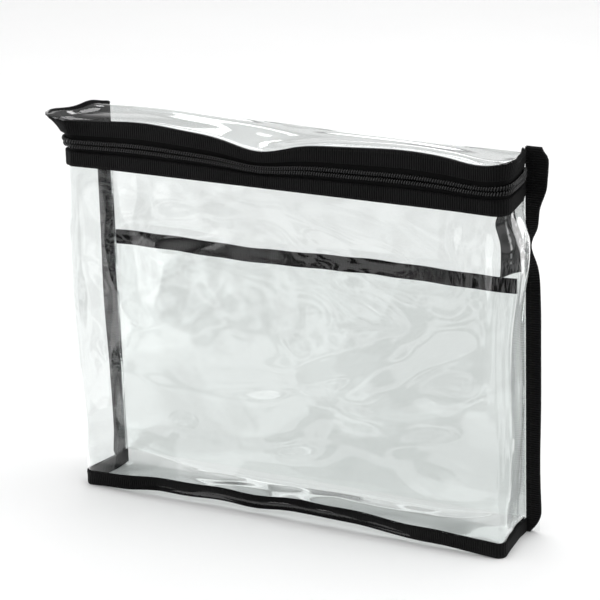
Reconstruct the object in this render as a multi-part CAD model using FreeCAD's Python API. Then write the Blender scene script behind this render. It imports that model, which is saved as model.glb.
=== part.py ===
import FreeCAD, Part
import math
import os

from FreeCAD import Vector

# Clear box pouch with fabric-bound seams and a coil zipper round three sides of its lid.
# Millimetres, +Z up, +Y towards the back. The origin is the middle of the base.

# Driving dimensions of the bag
SEAM_HALF = 130.5  # middle to the gusset's line at the back seam
FRONT_HALF = 137.0  # middle to the gusset's line at the front, where the bag is wider
DEPTH = 44.0  # front face of the front panel to the back face of the back panel
LID_Z = 224.0  # top face of the lid
FRONT_CORNER_R = 6.0
FLANGE = 8.0  # sheet left outside each seam for the binding to fold over
SHEET = 0.4  # clear sheet
TAPE = 0.5  # zipper tape
RIBBON = 0.6  # grosgrain ribbon
BINDING = 8.6  # a folded binding's width

# Zipper
CHAIN = 6.0  # width across both coils
COIL_THICK = 2.5
CORD_HALF = 0.5
EDGE_GAP = 0.15  # half the gap between the two coils, and between the two tapes
BARE_TAPE_LOW = 1.8  # tape that shows between the lower binding and the chain
BARE_TAPE_HIGH = 2.2

# Slider, along, out of and across the chain
SLIDER_LONG = 14.0
SLIDER_NOSE_HALF = 5.2
SLIDER_TAIL_HALF = 4.4
PLATE = 1.3
SLIDER_GAP = 0.3  # clearance to everything that the slider runs past
LIP = 1.0
POST_HALF = 0.5
POST_LONG = 3.0
SLIDER_START = 3.0  # seam to the slider's nose when the zip is closed
SLIDER_TRAVEL = 18.0

# Bridge on the slider, and the puller that it holds
BRIDGE_LONG = 8.0
BRIDGE_HALF = 1.1
BRIDGE_BAR = 1.2
PULLER_THICK = 1.2
PULLER_HALF = 3.1
PULLER_LONG = 20.0
PULLER_EYE = 6.6
PULLER_PLAY = 0.4

# Inner pocket, label and sewing thread
POCKET_Z = 149.0  # top edge of the pocket's sheet
POCKET_ROOM = 5.0
POCKET_INSET = 3.0  # the pocket's front stands this far inside the seam on each side
LABEL_WIDE = 12.0
LABEL_LONG = 40.0
LABEL_THICK = 0.4
LABEL_FROM_CORNER = 10.0
THREAD = 0.25
THREAD_INSET = 1.4  # a stitch row's distance from the ribbon's edge
UPRIGHT_THREAD = 3.2  # seam to the stitch row on each upright binding

# Clearances between the lid and the bag
LID_GAP = 0.3

# Places worked out from the sizes above
CHAIN_OUT = COIL_THICK - SHEET - RIBBON  # the coil's front, out from the front panel's face
FRONT_Y = CHAIN_OUT - (DEPTH + CHAIN_OUT + RIBBON) / 2
BACK_Y = FRONT_Y + DEPTH
SEAM_Y = BACK_Y - 3 * SHEET  # back, pocket and front sheets lie in each upright seam
END_Y = SEAM_Y - RIBBON  # where the upright binding's front face starts
LID_END_Y = END_Y - LID_GAP
FLOOR_Z = FLANGE  # underside of the bottom panel, above the seam that the bag stands on
UPPER_TOP_Z = LID_Z - SHEET
UPPER_Z = UPPER_TOP_Z - BINDING
CHAIN_Z = UPPER_Z - BARE_TAPE_HIGH - CHAIN / 2
LOWER_TOP_Z = CHAIN_Z - CHAIN / 2 - BARE_TAPE_LOW
LOWER_Z = LOWER_TOP_Z - BINDING
BACK_TOP_Z = LID_Z - SHEET - LID_GAP
TAPE_OUT = -SHEET - RIBBON  # the tape's front face, behind the binding's inner leaf
ZONE_END = SLIDER_START + SLIDER_TRAVEL + SLIDER_LONG + 2 * SLIDER_GAP
FAR = 400.0


def box(x0, y0, z0, x1, y1, z1):
    return Part.makeBox(x1 - x0, y1 - y0, z1 - z0, Vector(x0, y0, z0))


def joined(first, *others):
    return first.multiFuse(list(others)).removeSplitter()


def both_sides(shape):
    return shape, shape.mirror(Vector(0, 0, 0), Vector(1, 0, 0))


def offset_corners(points, out):
    """The corners of the path through points, moved out to the right of its direction."""
    headings = [(b - a).normalize() for a, b in zip(points, points[1:])]
    rights = [Vector(h.y, -h.x, 0) for h in headings]
    moved = [points[0] + rights[0] * out]
    for corner, one, two in zip(points[1:], rights, rights[1:]):
        moved.append(corner + (one + two) * (out / (1 + one.dot(two))))
    moved.append(points[-1] + rights[-1] * out)
    return moved


def rounded_path(points, radii):
    """Edges through points, with an arc of its radius at each inner corner, or none for 0."""
    edges = []
    start = points[0]
    for before, corner, after, radius in zip(points, points[1:], points[2:], radii):
        arriving = (corner - before).normalize()
        leaving = (after - corner).normalize()
        if radius > 0:
            half_turn = arriving.getAngle(leaving) / 2
            reach = radius * math.tan(half_turn)
            first = corner - arriving * reach
            last = corner + leaving * reach
            inwards = (leaving - arriving).normalize()
            centre = corner + inwards * (radius / math.cos(half_turn))
            edges.append(Part.makeLine(start, first))
            edges.append(Part.Arc(first, centre - inwards * radius, last).toShape())
            start = last
        else:
            edges.append(Part.makeLine(start, corner))
            start = corner
    edges.append(Part.makeLine(start, points[-1]))
    return edges


def wall_points(with_flanges, z=0.0):
    """Plan of the front panel's and gussets' outer face, from the left seam to the right."""
    if with_flanges:
        half = [(-SEAM_HALF - FLANGE, SEAM_Y), (-SEAM_HALF, SEAM_Y), (-FRONT_HALF, FRONT_Y)]
    else:
        lean = (FRONT_HALF - SEAM_HALF) / (SEAM_Y - FRONT_Y)
        past = 2 * FLANGE
        half = [(-SEAM_HALF + past * lean, SEAM_Y + past), (-FRONT_HALF, FRONT_Y)]
    left = [Vector(x, y, z) for x, y in half]
    return left + [Vector(-p.x, p.y, z) for p in reversed(left)]


def wall_edges(out, with_flanges=False, z=0.0):
    points = wall_points(with_flanges, z)
    outer = FRONT_CORNER_R + out
    radii = [0, outer, outer, 0] if with_flanges else [outer, outer]
    return rounded_path(offset_corners(points, out), radii)


def wall(out0, out1, z0, z1, with_flanges=False):
    """A wall round the left gusset, the front and the right gusset, between two offsets."""
    near = wall_edges(out0, with_flanges, z0)
    far = wall_edges(out1, with_flanges, z0)
    caps = [
        Part.makeLine(near[0].Vertexes[0].Point, far[0].Vertexes[0].Point),
        Part.makeLine(near[-1].Vertexes[-1].Point, far[-1].Vertexes[-1].Point),
    ]
    outline = Part.Wire(Part.__sortEdges__(near + far + caps))
    return Part.Face(outline).extrude(Vector(0, 0, z1 - z0))


def run(out0, out1, z0, z1, end_y):
    """The same wall with no flanges, ending square at end_y."""
    return wall(out0, out1, z0, z1).common(box(-FAR, -FAR, -FAR, FAR, end_y, FAR))


def filled(out, z0, z1, end_y):
    """A plate over everything that a wall's face at this offset goes round."""
    edges = wall_edges(out, z=z0)
    back = Part.makeLine(edges[0].Vertexes[0].Point, edges[-1].Vertexes[-1].Point)
    outline = Part.Wire(Part.__sortEdges__(edges + [back]))
    plate = Part.Face(outline).extrude(Vector(0, 0, z1 - z0))
    return plate.common(box(-FAR, -FAR, -FAR, FAR, end_y, FAR))


def gusset_frame():
    """Along the left gusset from the seam to the front, and out of it."""
    along = Vector(SEAM_HALF - FRONT_HALF, FRONT_Y - SEAM_Y, 0).normalize()
    return along, Vector(along.y, -along.x, 0)


def on_gusset(shape):
    """Turns a shape made with X along the gusset, Y out of it and Z down to its place."""
    along, out = gusset_frame()
    seat = FreeCAD.Matrix()
    seat.A11, seat.A21, seat.A31 = along
    seat.A12, seat.A22, seat.A32 = out
    seat.A13, seat.A23, seat.A33 = 0, 0, -1
    seat.A14, seat.A24, seat.A34 = -SEAM_HALF, SEAM_Y, CHAIN_Z
    placed = shape.copy()
    placed.Placement = FreeCAD.Placement(seat)
    return placed


def channel_on_edge(low, high, edge_z, inside_y):
    """A ribbon folded down over the level top edge of an upright sheet, along X."""
    front = box(low, inside_y - RIBBON, edge_z - BINDING + RIBBON, high, inside_y, edge_z)
    behind = inside_y + SHEET
    back = box(low, behind, edge_z - BINDING + RIBBON, high, behind + RIBBON, edge_z)
    fold = box(low, inside_y - RIBBON, edge_z, high, behind + RIBBON, edge_z + RIBBON)
    return joined(front, back, fold)


# Clear sheets


def make_front_wrap_sheet():
    top = LOWER_TOP_Z - RIBBON
    return wall(-SHEET, 0, RIBBON, top, with_flanges=True)


def make_back_sheet():
    side = SEAM_HALF + FLANGE
    back = box(-side, BACK_Y - SHEET, FLOOR_Z, side, BACK_Y, BACK_TOP_Z)
    bottom = filled(-SHEET, FLOOR_Z, FLOOR_Z + SHEET, END_Y)
    skirt = run(-2 * SHEET, -SHEET, RIBBON, FLOOR_Z + SHEET, END_Y)
    narrow = SEAM_HALF - 2 * SHEET
    tail = box(-narrow, END_Y, FLOOR_Z, narrow, BACK_Y - SHEET, FLOOR_Z + SHEET)
    return joined(back, bottom, skirt, tail)


def make_lid_sheet():
    panel = filled(0, LID_Z - SHEET, LID_Z, BACK_Y)
    rim = run(-SHEET, 0, UPPER_Z + RIBBON, LID_Z - SHEET, LID_END_Y)
    return joined(panel, rim)


def pocket_front_y():
    return BACK_Y - 2 * SHEET - POCKET_ROOM


def make_pocket_sheet():
    half = SEAM_HALF - POCKET_INSET
    y0 = pocket_front_y()
    y1 = BACK_Y - SHEET
    z0 = FLOOR_Z + SHEET
    side = SEAM_HALF + FLANGE
    tray = box(-half, y0, z0, half, y1, POCKET_Z)
    room = box(-half + SHEET, y0 + SHEET, z0 + SHEET, half - SHEET, FAR, FAR)
    flange = box(-side, y1 - SHEET, z0, -half, y1, POCKET_Z)
    left, right = both_sides(flange)
    return joined(tray.cut(room), left, right)


# Grosgrain bindings


def make_pocket_binding():
    half = SEAM_HALF - POCKET_INSET
    channel = channel_on_edge(-half, half, POCKET_Z, pocket_front_y())
    return channel.cut(make_pocket_sheet())


def make_body_binding():
    outer = run(0, RIBBON, 0, BINDING, END_Y)
    inner_out = -2 * SHEET
    inner = run(inner_out - RIBBON, inner_out, 0, FLOOR_Z - LID_GAP, END_Y)
    fold = run(inner_out - RIBBON, RIBBON, 0, RIBBON, END_Y)
    near = SEAM_HALF + 0.25 * RIBBON
    tip = SEAM_HALF + FLANGE
    upright = box(-tip - RIBBON, END_Y, 0, -near, BACK_Y + RIBBON, BACK_TOP_Z)
    sheets = box(-tip, SEAM_Y, RIBBON, FAR, BACK_Y, FAR)
    left, right = both_sides(upright.cut(sheets))
    return joined(outer, inner, fold, left, right)


def make_lower_band_binding():
    outer = run(0, RIBBON, LOWER_Z, LOWER_TOP_Z, END_Y)
    inner = run(TAPE_OUT, -SHEET, LOWER_Z, LOWER_TOP_Z, END_Y)
    fold = run(TAPE_OUT, RIBBON, LOWER_TOP_Z - RIBBON, LOWER_TOP_Z, END_Y)
    return joined(outer, inner, fold)


def make_upper_band_binding():
    outer = run(0, RIBBON, UPPER_Z, UPPER_TOP_Z, LID_END_Y)
    inner = run(TAPE_OUT, -SHEET, UPPER_Z, UPPER_TOP_Z, LID_END_Y)
    fold = run(TAPE_OUT, RIBBON, UPPER_Z, UPPER_Z + RIBBON, LID_END_Y)
    return joined(outer, inner, fold)


# Zipper tapes, coils and their filler cords


def slider_zone(z0, z1):
    """The stretch of the left gusset that the slider fills or passes, between two heights."""
    zone = box(-FLANGE, -FLANGE, CHAIN_Z - z1, ZONE_END, FLANGE, CHAIN_Z - z0)
    return on_gusset(zone)


def parted():
    """Room for the slider's post above the lower coil and tape."""
    return slider_zone(CHAIN_Z - POST_HALF - SLIDER_GAP, CHAIN_Z + POST_HALF)


def make_lower_zip_tape():
    tape = run(TAPE_OUT - TAPE, TAPE_OUT, LOWER_Z, CHAIN_Z - EDGE_GAP, END_Y)
    return tape.cut(parted())


def make_upper_zip_tape():
    tape = run(TAPE_OUT - TAPE, TAPE_OUT, CHAIN_Z + EDGE_GAP, UPPER_TOP_Z, LID_END_Y)
    return tape.cut(slider_zone(CHAIN_Z, UPPER_Z))


def coil_run(side, end_y):
    """A coil's outer shape, on the tape's front, above (1) or below (-1) the chain's middle."""
    near, far = sorted((CHAIN_Z + side * EDGE_GAP, CHAIN_Z + side * CHAIN / 2))
    return run(TAPE_OUT, TAPE_OUT + COIL_THICK, near, far, end_y)


def cord_run(side, end_y):
    """The filler cord along the middle of a coil."""
    out = TAPE_OUT + COIL_THICK / 2
    z = CHAIN_Z + side * (EDGE_GAP + CHAIN / 2) / 2
    return run(out - CORD_HALF, out + CORD_HALF, z - CORD_HALF, z + CORD_HALF, end_y)


def make_lower_coil():
    return coil_run(-1, END_Y).cut(cord_run(-1, END_Y)).cut(parted())


def make_lower_coil_cord():
    return cord_run(-1, END_Y)


def make_upper_coil():
    coil = coil_run(1, LID_END_Y).cut(cord_run(1, LID_END_Y))
    return coil.cut(slider_zone(CHAIN_Z, UPPER_Z))


def make_upper_coil_cord():
    return cord_run(1, LID_END_Y).cut(slider_zone(CHAIN_Z, UPPER_Z))


# Slider and puller, made with X along the chain, Y out and Z down, from the seam


def shield(y0, y1):
    """The outline of the slider's plates: wide at the nose, narrower at the tail."""
    nose = SLIDER_START
    tail = nose + SLIDER_LONG
    blunt = SLIDER_NOSE_HALF * 0.5
    outline = [
        (nose, -blunt),
        (nose + blunt, -SLIDER_NOSE_HALF),
        (tail - 1.0, -SLIDER_TAIL_HALF),
        (tail, -SLIDER_TAIL_HALF + 1.0),
        (tail, SLIDER_TAIL_HALF - 1.0),
        (tail - 1.0, SLIDER_TAIL_HALF),
        (nose + blunt, SLIDER_NOSE_HALF),
        (nose, blunt),
    ]
    points = [Vector(x, y0, z) for x, z in outline + outline[:1]]
    plate = Part.Face(Part.makePolygon(points)).extrude(Vector(0, y1 - y0, 0))
    edges = [e for e in plate.Edges if abs(e.CenterOfMass.y - max(y0, y1)) < 1e-6]
    return plate.makeFillet(PLATE * 0.35, edges) if y1 > CHAIN_OUT else plate


def plate_out():
    return CHAIN_OUT + SLIDER_GAP + PLATE


def bridge_middle():
    return SLIDER_START + SLIDER_LONG / 2


def make_slider_body():
    nose = SLIDER_START
    tail = nose + SLIDER_LONG
    front_in = CHAIN_OUT + SLIDER_GAP
    back_out = TAPE_OUT - TAPE - SLIDER_GAP
    front = shield(front_in, plate_out())
    back = shield(back_out - PLATE, back_out)
    post = box(nose + 0.8, back_out, -POST_HALF, nose + 0.8 + POST_LONG, front_in, POST_HALF)
    lip_in = CHAIN / 2 + SLIDER_GAP
    lip_y = TAPE_OUT + SLIDER_GAP
    lips = [
        box(nose + 3.0, lip_y, side, tail - 1.2, front_in, side + LIP)
        for side in (-lip_in - LIP, lip_in)
    ]
    return on_gusset(joined(front, back, post, *lips, make_bridge()))


def make_bridge():
    """An arch on the slider's front plate, open across the chain for the puller's bar."""
    foot = plate_out()
    room = PULLER_THICK + 2 * PULLER_PLAY
    low = bridge_middle() - BRIDGE_LONG / 2
    high = bridge_middle() + BRIDGE_LONG / 2
    top = foot + room + BRIDGE_BAR
    arch = box(low, foot, -BRIDGE_HALF, high, top, BRIDGE_HALF)
    corners = [
        e
        for e in arch.Edges
        if abs(e.CenterOfMass.y - top) < 1e-6 and abs(e.CenterOfMass.z) < 1e-6
    ]
    tunnel = box(low + BRIDGE_BAR, foot, -FAR, high - BRIDGE_BAR, foot + room, FAR)
    return arch.makeFillet(BRIDGE_BAR, corners).cut(tunnel)


def make_puller():
    """A flat tab whose root bar passes under the bridge, lying along the chain."""
    middle = plate_out() + PULLER_PLAY + PULLER_THICK / 2
    root = bridge_middle()
    half_thick = PULLER_THICK / 2
    bar = Part.makeCylinder(
        half_thick, 2 * PULLER_HALF, Vector(root, middle, -PULLER_HALF), Vector(0, 0, 1)
    )
    plate = box(
        root, middle - half_thick, -PULLER_HALF,
        root + PULLER_LONG, middle + half_thick, PULLER_HALF,
    )
    ends = [
        e
        for e in plate.Edges
        if abs(e.CenterOfMass.x - root - PULLER_LONG) < 1e-6
        and abs(e.CenterOfMass.y - middle) < 1e-6
    ]
    plate = plate.makeFillet(PULLER_HALF * 0.8, ends)
    eye_half = BRIDGE_HALF + PULLER_PLAY
    eye = box(root + half_thick, -FAR, -eye_half, root + PULLER_EYE, FAR, eye_half)
    slot_half = PULLER_HALF * 0.35
    slot = box(
        root + PULLER_LONG * 0.62, -FAR, -slot_half,
        root + PULLER_LONG * 0.85, FAR, slot_half,
    )
    return on_gusset(joined(bar, plate.cut(eye).cut(slot)))


# Label and sewing thread


def make_label():
    back = TAPE_OUT - TAPE
    band = run(back - LABEL_THICK, back, LOWER_Z - LABEL_LONG, LOWER_Z + BINDING / 2, END_Y)
    start = FRONT_Y + LABEL_FROM_CORNER
    return band.common(box(0, start, -FAR, FAR, start + LABEL_WIDE, FAR))


def thread_run(z, end_y):
    return run(RIBBON, RIBBON + THREAD, z - THREAD, z + THREAD, end_y)


def make_lower_band_thread():
    low = thread_run(LOWER_Z + THREAD_INSET, END_Y)
    high = thread_run(LOWER_TOP_Z - THREAD_INSET, END_Y)
    return Part.makeCompound([low, high])


def make_upper_band_thread():
    low = thread_run(UPPER_Z + THREAD_INSET, LID_END_Y)
    high = thread_run(UPPER_TOP_Z - THREAD_INSET, LID_END_Y)
    return Part.makeCompound([low, high])


def make_body_thread():
    bottom = thread_run(BINDING - THREAD_INSET, END_Y - RIBBON)
    x = SEAM_HALF + UPRIGHT_THREAD
    up = box(-x - THREAD, END_Y - THREAD, BINDING, -x + THREAD, END_Y, BACK_TOP_Z - RIBBON)
    left, right = both_sides(up)
    return Part.makeCompound([bottom, left, right])


def make_pocket_thread():
    y = pocket_front_y() - RIBBON
    z = POCKET_Z - BINDING + RIBBON + THREAD_INSET
    half = SEAM_HALF - POCKET_INSET - RIBBON
    return box(-half, y - THREAD, z - THREAD, half, y, z + THREAD)


NODES = {
    "front_wrap_sheet": make_front_wrap_sheet,
    "back_sheet": make_back_sheet,
    "lid_sheet": make_lid_sheet,
    "pocket_sheet": make_pocket_sheet,
    "pocket_binding": make_pocket_binding,
    "body_binding": make_body_binding,
    "lower_band_binding": make_lower_band_binding,
    "upper_band_binding": make_upper_band_binding,
    "lower_zip_tape": make_lower_zip_tape,
    "upper_zip_tape": make_upper_zip_tape,
    "lower_coil": make_lower_coil,
    "lower_coil_cord": make_lower_coil_cord,
    "upper_coil": make_upper_coil,
    "upper_coil_cord": make_upper_coil_cord,
    "slider_body": make_slider_body,
    "puller": make_puller,
    "label_tab": make_label,
    "lower_band_thread": make_lower_band_thread,
    "upper_band_thread": make_upper_band_thread,
    "body_thread": make_body_thread,
    "pocket_thread": make_pocket_thread,
}


def main():
    os.makedirs("parts", exist_ok=True)
    for name, make in NODES.items():
        shape = make()
        if not shape.isValid() or shape.Volume <= 0:
            raise ValueError(f"{name} isn't a valid solid")
        shape.exportStep(f"parts/{name}.step")


main()
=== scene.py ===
import math

import bmesh
import bpy
from mathutils import Matrix, Vector, noise


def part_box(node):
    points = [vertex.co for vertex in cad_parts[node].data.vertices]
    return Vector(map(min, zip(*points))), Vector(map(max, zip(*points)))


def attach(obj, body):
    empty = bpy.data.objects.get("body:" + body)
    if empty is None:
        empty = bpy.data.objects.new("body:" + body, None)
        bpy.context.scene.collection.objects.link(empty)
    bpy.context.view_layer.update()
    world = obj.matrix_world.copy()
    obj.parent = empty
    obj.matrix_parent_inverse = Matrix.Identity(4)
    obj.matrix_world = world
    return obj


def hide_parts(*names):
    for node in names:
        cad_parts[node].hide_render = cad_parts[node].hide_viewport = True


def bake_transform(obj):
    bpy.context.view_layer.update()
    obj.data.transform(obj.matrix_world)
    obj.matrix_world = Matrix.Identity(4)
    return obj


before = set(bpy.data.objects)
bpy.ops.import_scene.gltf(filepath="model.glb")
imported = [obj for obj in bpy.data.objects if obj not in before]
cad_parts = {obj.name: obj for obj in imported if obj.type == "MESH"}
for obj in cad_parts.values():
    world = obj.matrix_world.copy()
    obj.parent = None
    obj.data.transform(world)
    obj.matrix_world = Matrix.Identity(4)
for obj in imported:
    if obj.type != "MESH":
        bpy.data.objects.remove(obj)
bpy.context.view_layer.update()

# Looks of a clear box pouch with fabric-bound seams and a coil zipper round its lid.
# Lengths in the making are millimetres in the frame's axes, and meshes are stored in metres.

bl_info = {
    "name": "Clear Zip Pouch",
    "version": (1, 0, 0),
    "blender": (4, 5, 0),
    "location": "View3D > Sidebar > Zip Pouch",
    "description": "Builds the clear sheets, ribbons, zipper and studio of a clear zip pouch",
    "category": "Object",
}

MM = 0.001


def box_mm(node):
    low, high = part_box(node)
    return low / MM, high / MM


# Places taken from the frame
WRAP_LOW, WRAP_HIGH = box_mm("front_wrap_sheet")
BACK_LOW, BACK_HIGH = box_mm("back_sheet")
LOWER_LOW, LOWER_HIGH = box_mm("lower_band_binding")
UPPER_LOW, UPPER_HIGH = box_mm("upper_band_binding")
BODY_LOW, BODY_HIGH = box_mm("body_binding")
LOWER_TAPE_LOW, LOWER_TAPE_HIGH = box_mm("lower_zip_tape")
UPPER_TAPE_HIGH = box_mm("upper_zip_tape")[1]
COIL_LOW, COIL_HIGH = box_mm("lower_coil")
UPPER_COIL_LOW, UPPER_COIL_HIGH = box_mm("upper_coil")
POCKET_LOW, POCKET_HIGH = box_mm("pocket_sheet")
POCKET_RIBBON_LOW, POCKET_RIBBON_HIGH = box_mm("pocket_binding")
LABEL_LOW, LABEL_HIGH = box_mm("label_tab")

# Thicknesses and widths, as the solids have them
SHEET = 0.4
RIBBON = 0.6
TAPE = 0.5
BINDING = 8.6
FLANGE = 8.0
CORNER_R = 6.0
FLARE = 6.5  # how much wider the front is than the seam, on each side
SLIDER_ZONE = 35.6  # length of gusset from the seam that the slider keeps to

FRONT_Y = WRAP_LOW.y
SEAM_Y = WRAP_HIGH.y - SHEET
SEAM_X = WRAP_HIGH.x - FLANGE
FRONT_X = SEAM_X + FLARE
FLOOR_Z = BACK_LOW.z + 7.4
LID_Z = box_mm("lid_sheet")[1].z
CHAIN_Z = (COIL_HIGH.z + UPPER_COIL_LOW.z) / 2

# Making of the ribbons, threads and coils
STITCH_IN = 1.4  # a stitch row's place in from the ribbon's free edge
STITCH_STOP = 3.0  # a stitch row's end short of the ribbon's
COIL_STOP = 1.0
COIL_HALF = 1.25  # half a coil's thickness
COIL_WIRE = 0.27
COIL_SLANT = math.radians(-20)
COIL_MESH_IN = 0.35  # how far each coil's turns reach in between the other's
CORE_HALF = 0.62
BAND_SCALE = 0.314  # scale of a band texture with one band to the millimetre
RUBBED_METAL = (0.055, 0.053, 0.05)
DASH_PITCH = 4.6
PINCH_Z = 165.0  # height at which the right upright seam turns back
SEAM_TOP_Z = 186.0  # height above which the upright seams stand straight

# Plan of the outer face, measured along it from the middle of the front
GUSSET_DIR = Vector((SEAM_X - FRONT_X, SEAM_Y - FRONT_Y)).normalized()
GUSSET_OUT = Vector((GUSSET_DIR.y, -GUSSET_DIR.x))
CORNER_TURN = math.acos(GUSSET_DIR.x)
TANGENT = CORNER_R * math.tan(CORNER_TURN / 2)
FRONT_RUN = FRONT_X - TANGENT
CORNER_RUN = CORNER_R * CORNER_TURN
GUSSET_RUN = (Vector((FRONT_X - SEAM_X, SEAM_Y - FRONT_Y))).length - TANGENT
CORNER_MID = FRONT_RUN + CORNER_RUN / 2
SEAM_RUN = FRONT_RUN + CORNER_RUN + GUSSET_RUN
WALL_RUN = SEAM_RUN + FLANGE

# Waves of the lid's edge: middle along the wall, reach, lift at the lid
LID_WAVES = (
    (-9, 21, -6.6),
    (-82, 26, 2.2),
    (80, 34, 2.6),
    (118, 12, -1.2),
    (139, 8, 2.6),
    (-138, 9, 2.4),
    (-159, 13, 4.6),
    (168, 11, -1.2),
)
# Outward lean of the lid's edge: middle along the wall, reach, lean
LID_LEANS = ((-138, 10, 11.5), (141, 12, 3.2), (-40, 40, 1.6), (60, 36, -1.4))

# Soft dents in the front panel: along the wall, height, half length, half width, turn, depth
FRONT_DENTS = (
    (30, 92, 20, 7, 20, -1.5),
    (36, 74, 24, 6, -15, 1.5),
    (20, 60, 16, 6, 40, -1.3),
    (-18, 80, 34, 7, 8, -1.8),
    (116, 112, 26, 15, 12, -3.0),
    (90, 62, 18, 6, 15, 1.6),
    (6, 46, 20, 6, 12, -1.4),
    (-64, 46, 8, 7, 60, 1.3),
    (96, 40, 20, 9, 5, -1.8),
    (-92, 140, 12, 26, 10, -1.7),
    (48, 176, 34, 11, -12, 2.0),
    (-60, 168, 38, 12, 14, -2.0),
    (-100, 96, 16, 28, -8, 1.6),
    (64, 138, 30, 9, -20, -1.6),
    (118, 170, 8, 34, 6, 2.4),
    (-116, 60, 12, 40, 4, 1.5),
    (70, 92, 40, 8, 30, -1.2),
)


def smooth(value):
    t = min(max(value, 0.0), 1.0)
    return t * t * (3 - 2 * t)


def bump(value, middle, reach):
    return math.exp(-(((value - middle) / reach) ** 2))


def soft_noise(x, z, grain, seed):
    return noise.noise(Vector((x / grain, z / grain, seed)))


def plan(run):
    """Point on the bag's outer face in plan, and the way out of it, at a length along the wall."""
    side = -1.0 if run < 0 else 1.0
    length = abs(run)
    if length <= FRONT_RUN:
        point, out = Vector((length, FRONT_Y)), Vector((0.0, -1.0))
    elif length <= FRONT_RUN + CORNER_RUN:
        turn = (length - FRONT_RUN) / CORNER_R
        out = Vector((math.sin(turn), -math.cos(turn)))
        point = Vector((FRONT_RUN, FRONT_Y + CORNER_R)) + CORNER_R * out
    elif length <= SEAM_RUN:
        out = GUSSET_OUT
        point = Vector((SEAM_X, SEAM_Y)) - GUSSET_DIR * (SEAM_RUN - length)
    else:
        out = Vector((0.0, -1.0))
        point = Vector((SEAM_X + length - SEAM_RUN, SEAM_Y))
    return Vector((side * point.x, point.y)), Vector((side * out.x, out.y))


def lid_lift(run, z):
    """How far a point of the zip band is lifted. The chain beside the slider stays where it is."""
    into = smooth((abs(run) - CORNER_MID - 1) / 7) if run < 0 else 0.0
    plain = max(0.0, (z - LOWER_LOW.z) / (LID_Z - LOWER_LOW.z)) ** 1.3
    kept = max(0.0, (z - UPPER_LOW.z - 0.6) / (LID_Z - UPPER_LOW.z - 0.6))
    share = plain * (1 - into) + kept * into
    return share * sum(lift * bump(run, middle, reach) for middle, reach, lift in LID_WAVES)


def lid_lean(run, z):
    into = smooth((abs(run) - CORNER_MID + 4) / 8) if run < 0 else 0.0
    plain = max(0.0, (z - LOWER_HIGH.z) / (LID_Z - LOWER_HIGH.z)) ** 1.6
    kept = max(0.0, (z - UPPER_LOW.z) / (LID_Z - UPPER_LOW.z)) ** 1.2
    share = plain * (1 - into) + kept * into
    return share * sum(lean * bump(run, middle, reach) for middle, reach, lean in LID_LEANS)


def corner_creases(run, z):
    """Small sharp folds where the gussets and the front meet the bottom ribbon."""
    length = abs(run)
    inside = smooth((SEAM_RUN - length) / 5)
    near = bump(z, 16, 11) * (bump(length, SEAM_RUN - 10, 15) + 0.7 * bump(length, CORNER_MID, 16))
    return near * inside * 2.0 * (0.3 - abs(soft_noise(run, z * 0.8, 8, 71.0)))


def panel_swell(run, z):
    """How far the clear wall stands out of its plan between the bottom ribbon and the band."""
    foot, head = BODY_LOW.z + BINDING, LOWER_LOW.z
    if z <= foot or z >= head:
        return 0.0
    open_up = smooth((z - foot) / 24) * smooth((head - z) / 22)
    length = abs(run)
    across = smooth((FRONT_RUN + 2 - length) / 26)
    swell = across * 2.4 * math.sin(math.pi * (z - foot) / (head - foot))
    swell += across * 2.6 * soft_noise(run, z * 1.3, 62, 3.1)
    swell += across * 0.9 * soft_noise(run, z, 24, 7.7)
    for along, height, half_long, half_wide, turn, depth in FRONT_DENTS:
        angle = math.radians(turn)
        dx, dz = run - along, z - height
        a = (dx * math.cos(angle) + dz * math.sin(angle)) / half_long
        b = (-dx * math.sin(angle) + dz * math.cos(angle)) / half_wide
        swell += across * depth * math.exp(-(a * a + b * b) ** 1.4)
    if length > FRONT_RUN - 6 and length < SEAM_RUN:
        gusset = smooth((length - FRONT_RUN + 6) / 12) * smooth((SEAM_RUN - length) / 16)
        if run > 0:
            swell += gusset * (5.2 * bump(z, 168, 34) + 2.0 * bump(z, 70, 40))
        else:
            swell += gusset * (1.6 * bump(z, 120, 50) - 1.4 * bump(z, 40, 24))
        swell += gusset * 1.1 * soft_noise(run * 2, z, 34, 12.5)
    return swell * open_up + corner_creases(run, z) * smooth((z - foot) / 3)


def bottom_bow(run, z):
    """Lift and tuck of the bottom ribbon, which arches up between the front corners."""
    arch = max(0.0, 1 - (run / (FRONT_RUN + 2)) ** 2)
    fade = 1 - smooth((z - 6) / 60)
    lift = fade * arch * (4.6 + 0.8 * math.sin(run / 17.0) + 0.5 * math.sin(run / 7.3 + 1))
    tuck = arch * -3.6 * (1 - smooth(z / 14))
    ripple = 0.35 * math.sin(run / 6.1) * (1 - smooth(z / 12)) * smooth((SEAM_RUN - abs(run)) / 30)
    return lift, tuck + ripple


def wall(run, z, out):
    """A point of the bag's wall, with the waves that the soft sheet has."""
    point, way = plan(run)
    flare = 1.8 * smooth((abs(run) - 100) / 40) * (z / 110 - 1)
    if abs(run) > SEAM_RUN - 14:
        flare *= smooth((SEAM_RUN - abs(run)) / 14)
    if z > LOWER_LOW.z and run < -FRONT_RUN:
        flare = 0.0
    elif z > LOWER_LOW.z - 40 and run < -FRONT_RUN:
        flare *= smooth((LOWER_LOW.z - z) / 40)
    lift, tuck = bottom_bow(run, z)
    if abs(run) > SEAM_RUN:
        return seam_turn(math.copysign(1, run), z, abs(run) - SEAM_RUN, -out)
    stand = out + panel_swell(run, z) + lid_lean(run, z) + tuck + flare
    place = point + way * stand
    return Vector((place.x, place.y, z + lift + lid_lift(run, z)))


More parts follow.
